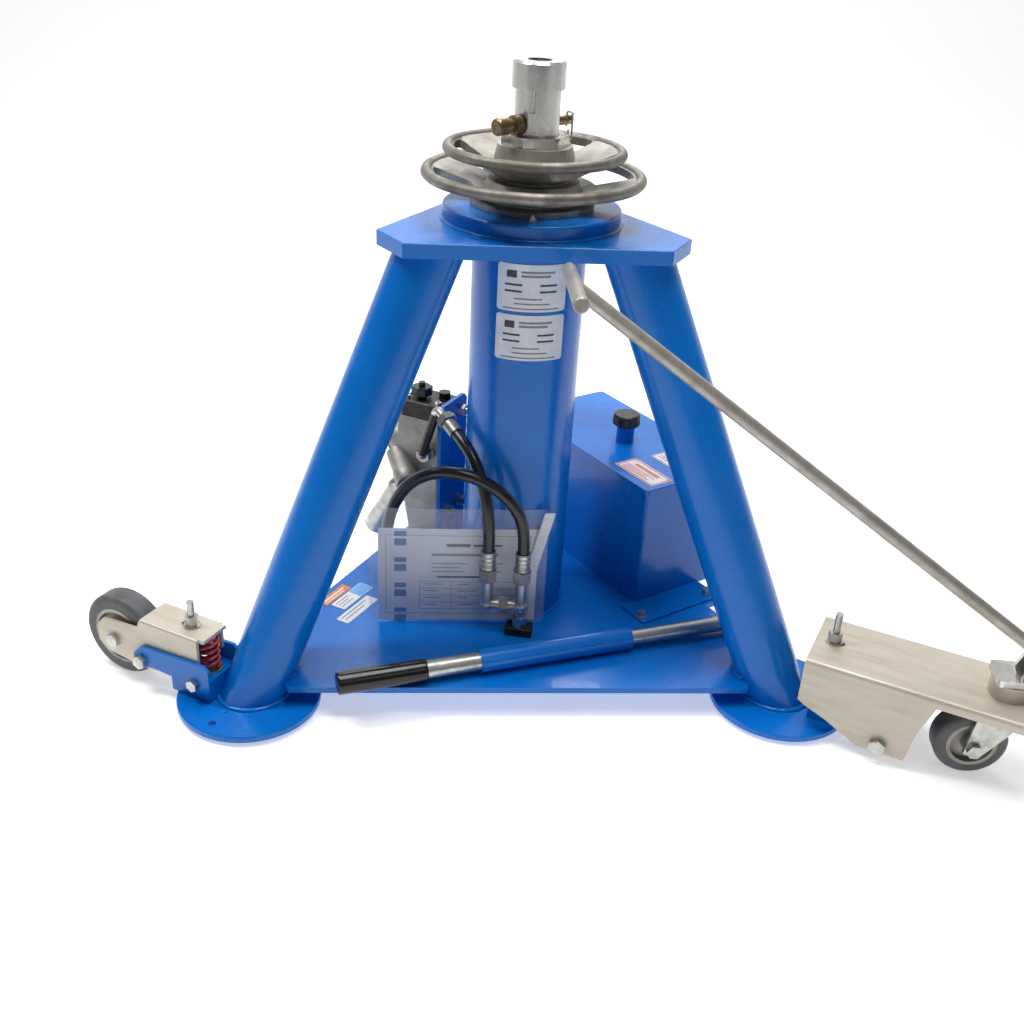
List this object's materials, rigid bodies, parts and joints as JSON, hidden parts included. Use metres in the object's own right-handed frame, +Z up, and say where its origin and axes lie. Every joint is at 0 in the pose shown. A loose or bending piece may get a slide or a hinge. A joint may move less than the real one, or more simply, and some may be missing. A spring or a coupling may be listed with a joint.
{
  "type": "aircraft tripod jack",
  "caption": "Blue hydraulic aircraft tripod jack with locking handwheels, hand pump, reservoir, sprung casters and a folding tow bar.",
  "frame": {"origin": "the ram axis, level with the undersides of the three foot pads", "axes": "+Z up along the ram; +X from the ram towards the steered tow caster; +Y to the left when facing +X"},
  "size_m": [1.2895, 0.9784, 0.855],
  "materials": {
    "blue_paint": "gloss blue paint",
    "beige_paint": "satin sand-coloured paint",
    "red_paint": "red enamel on spring wire",
    "cast_aluminium": "as-cast, bright on the machined faces",
    "bright_steel": "turned and polished",
    "zinc_steel": "zinc plated",
    "dull_steel": "zinc plated, dulled",
    "chrome": "hard chrome",
    "bronze": "turned bronze",
    "black_oxide": "black oxide",
    "black_plastic": "moulded, semi-matt",
    "hose_rubber": "smooth black rubber",
    "grip_rubber": "matt black rubber",
    "seal_rubber": "nitrile",
    "grey_tyre": "worn grey-black tread",
    "clear_vinyl": "clear vinyl over white paper"
  },
  "bodies": {
    "frame": {"foot_pads": "blue_paint", "legs": "blue_paint", "top_plate": "blue_paint", "base_plate": "blue_paint", "collar_ring": "blue_paint", "column_tube": "blue_paint", "ram_guide": "bronze", "pump_mount_plate": "blue_paint", "pump_fasteners": "zinc_steel", "pump_body": "cast_aluminium", "pump_valve_block": "black_oxide", "reservoir_tank": "blue_paint", "reservoir_lid": "blue_paint", "reservoir_bolts": "zinc_steel", "pressure_hose": "hose_rubber", "return_hose": "hose_rubber", "hose_ferrules": "zinc_steel", "port_fittings": "zinc_steel", "port_boss": "black_oxide", "document_pouch": "clear_vinyl", "storage_tube": "blue_paint", "caster_brackets": "blue_paint", "limit_studs": "zinc_steel", "caster_spring_left": "red_paint", "caster_spring_right": "red_paint", "caster_spring_tow": "red_paint"},
    "ram": {"ram_piston": "dull_steel", "piston_seal": "seal_rubber", "ram_tube": "chrome"},
    "lower_wheel": {"lower_lock_wheel": "cast_aluminium"},
    "second_stage": {"inner_ram": "chrome", "ram_hexagon": "bright_steel"},
    "upper_wheel": {"upper_lock_wheel": "cast_aluminium"},
    "extension": {"extension_tube": "bright_steel", "jack_socket": "bright_steel"},
    "locking_pin": {"lock_pin": "bronze", "lock_pin_clip": "zinc_steel"},
    "knob": {"release_knob": "black_plastic"},
    "cap": {"filler_cap": "black_plastic"},
    "stored_handle": {"pump_handle": "zinc_steel", "handle_grip": "grip_rubber"},
    "lever": {"lever_socket": "zinc_steel"},
    "plunger": {"pump_plunger": "bright_steel"},
    "rear_arm_left": {"caster_arm_left": "beige_paint", "arm_bolts_left": "zinc_steel"},
    "rear_arm_right": {"caster_arm_right": "beige_paint", "arm_bolts_right": "zinc_steel"},
    "rear_wheel_left": {"wheel_left_tyre": "grey_tyre", "wheel_left_hub": "cast_aluminium"},
    "rear_wheel_right": {"wheel_right_tyre": "grey_tyre", "wheel_right_hub": "cast_aluminium"},
    "front_arm": {"tow_arm": "beige_paint", "tow_pivot_bolt": "zinc_steel"},
    "swivel": {"swivel_fork": "zinc_steel", "steering_stem": "bright_steel", "swivel_bolts": "zinc_steel"},
    "front_wheel": {"tow_wheel_tyre": "grey_tyre", "tow_wheel_hub": "cast_aluminium"},
    "drawbar": {"tow_bar": "bright_steel"}
  },
  "joints": [
    {"name": "ram_lift", "type": "slide", "parent": "frame", "child": "ram", "axis": [0, 0, 1], "range_m": [0, 0.4]},
    {"name": "lower_wheel_turn", "type": "hinge", "parent": "ram", "child": "lower_wheel", "pos_m": [0, 0, 0.69], "axis": [0, 0, 1], "continuous": true},
    {"name": "second_stage_lift", "type": "slide", "parent": "ram", "child": "second_stage", "axis": [0, 0, 1], "range_m": [0, 0.4]},
    {"name": "upper_wheel_turn", "type": "hinge", "parent": "second_stage", "child": "upper_wheel", "pos_m": [0, 0, 0.72], "axis": [0, 0, 1], "continuous": true},
    {"name": "extension_raise", "type": "slide", "parent": "second_stage", "child": "extension", "axis": [0, 0, 1], "range_m": [0, 0.35]},
    {"name": "lock_pin_draw", "type": "slide", "parent": "extension", "child": "locking_pin", "axis": [-0.3746, -0.9272, 0], "range_m": [0, 0.012]},
    {"name": "release_knob_turn", "type": "hinge", "parent": "frame", "child": "knob", "pos_m": [-0.166, -0.006, 0.35], "axis": [0, 0, 1], "range_deg": [0, 270]},
    {"name": "filler_cap_turn", "type": "hinge", "parent": "frame", "child": "cap", "pos_m": [0.08992, 0.22175, 0.28], "axis": [0, 0, 1], "continuous": true},
    {"name": "handle_draw", "type": "slide", "parent": "frame", "child": "stored_handle", "axis": [-0.7071, -0.7071, 0], "range_m": [0, 0.42]},
    {"name": "pump_stroke", "type": "hinge", "parent": "frame", "child": "lever", "pos_m": [-0.203, 0, 0.186], "axis": [0, 1, 0], "range_deg": [0, 75]},
    {"name": "plunger_stroke", "type": "slide", "parent": "frame", "child": "plunger", "axis": [0, 0, 1], "range_m": [0, 0.0217]},
    {"name": "rear_arm_left_hinge", "type": "hinge", "parent": "frame", "child": "rear_arm_left", "pos_m": [-0.372, 0.406, 0.043], "axis": [0, 1, 0], "range_deg": [0, 6.5], "stiffness_Nm_per_rad": 150, "springref_deg": -17.19, "deforming": ["caster_spring_left"]},
    {"name": "rear_arm_right_hinge", "type": "hinge", "parent": "frame", "child": "rear_arm_right", "pos_m": [-0.372, -0.406, 0.043], "axis": [0, 1, 0], "range_deg": [0, 6.5], "stiffness_Nm_per_rad": 150, "springref_deg": -17.19, "deforming": ["caster_spring_right"]},
    {"name": "front_arm_hinge", "type": "hinge", "parent": "frame", "child": "front_arm", "pos_m": [0.603, 0, 0.021], "axis": [0, -1, 0], "range_deg": [0, 3.4], "stiffness_Nm_per_rad": 330, "springref_deg": -20.63, "deforming": ["caster_spring_tow"]},
    {"name": "rear_wheel_left_roll", "type": "hinge", "parent": "rear_arm_left", "child": "rear_wheel_left", "pos_m": [-0.426, 0.406, 0.0575], "axis": [0, 1, 0], "continuous": true},
    {"name": "rear_wheel_right_roll", "type": "hinge", "parent": "rear_arm_right", "child": "rear_wheel_right", "pos_m": [-0.426, -0.406, 0.0575], "axis": [0, 1, 0], "continuous": true},
    {"name": "swivel_turn", "type": "hinge", "parent": "front_arm", "child": "swivel", "pos_m": [0.744, 0, 0.13], "axis": [0, 0, 1], "range_deg": [0, 300]},
    {"name": "front_wheel_roll", "type": "hinge", "parent": "swivel", "child": "front_wheel", "pos_m": [0.71243, -0.01263, 0.044], "axis": [0.3714, -0.9285, 0], "continuous": true},
    {"name": "drawbar_fold", "type": "hinge", "parent": "swivel", "child": "drawbar", "pos_m": [0.77185, 0.01114, 0.187], "axis": [-0.3714, 0.9285, 0], "range_deg": [0, 150]}
  ],
  "couplings": [
    {"joint": "plunger_stroke", "follows": "pump_stroke", "m_per_rad": 0.0163}
  ]
}
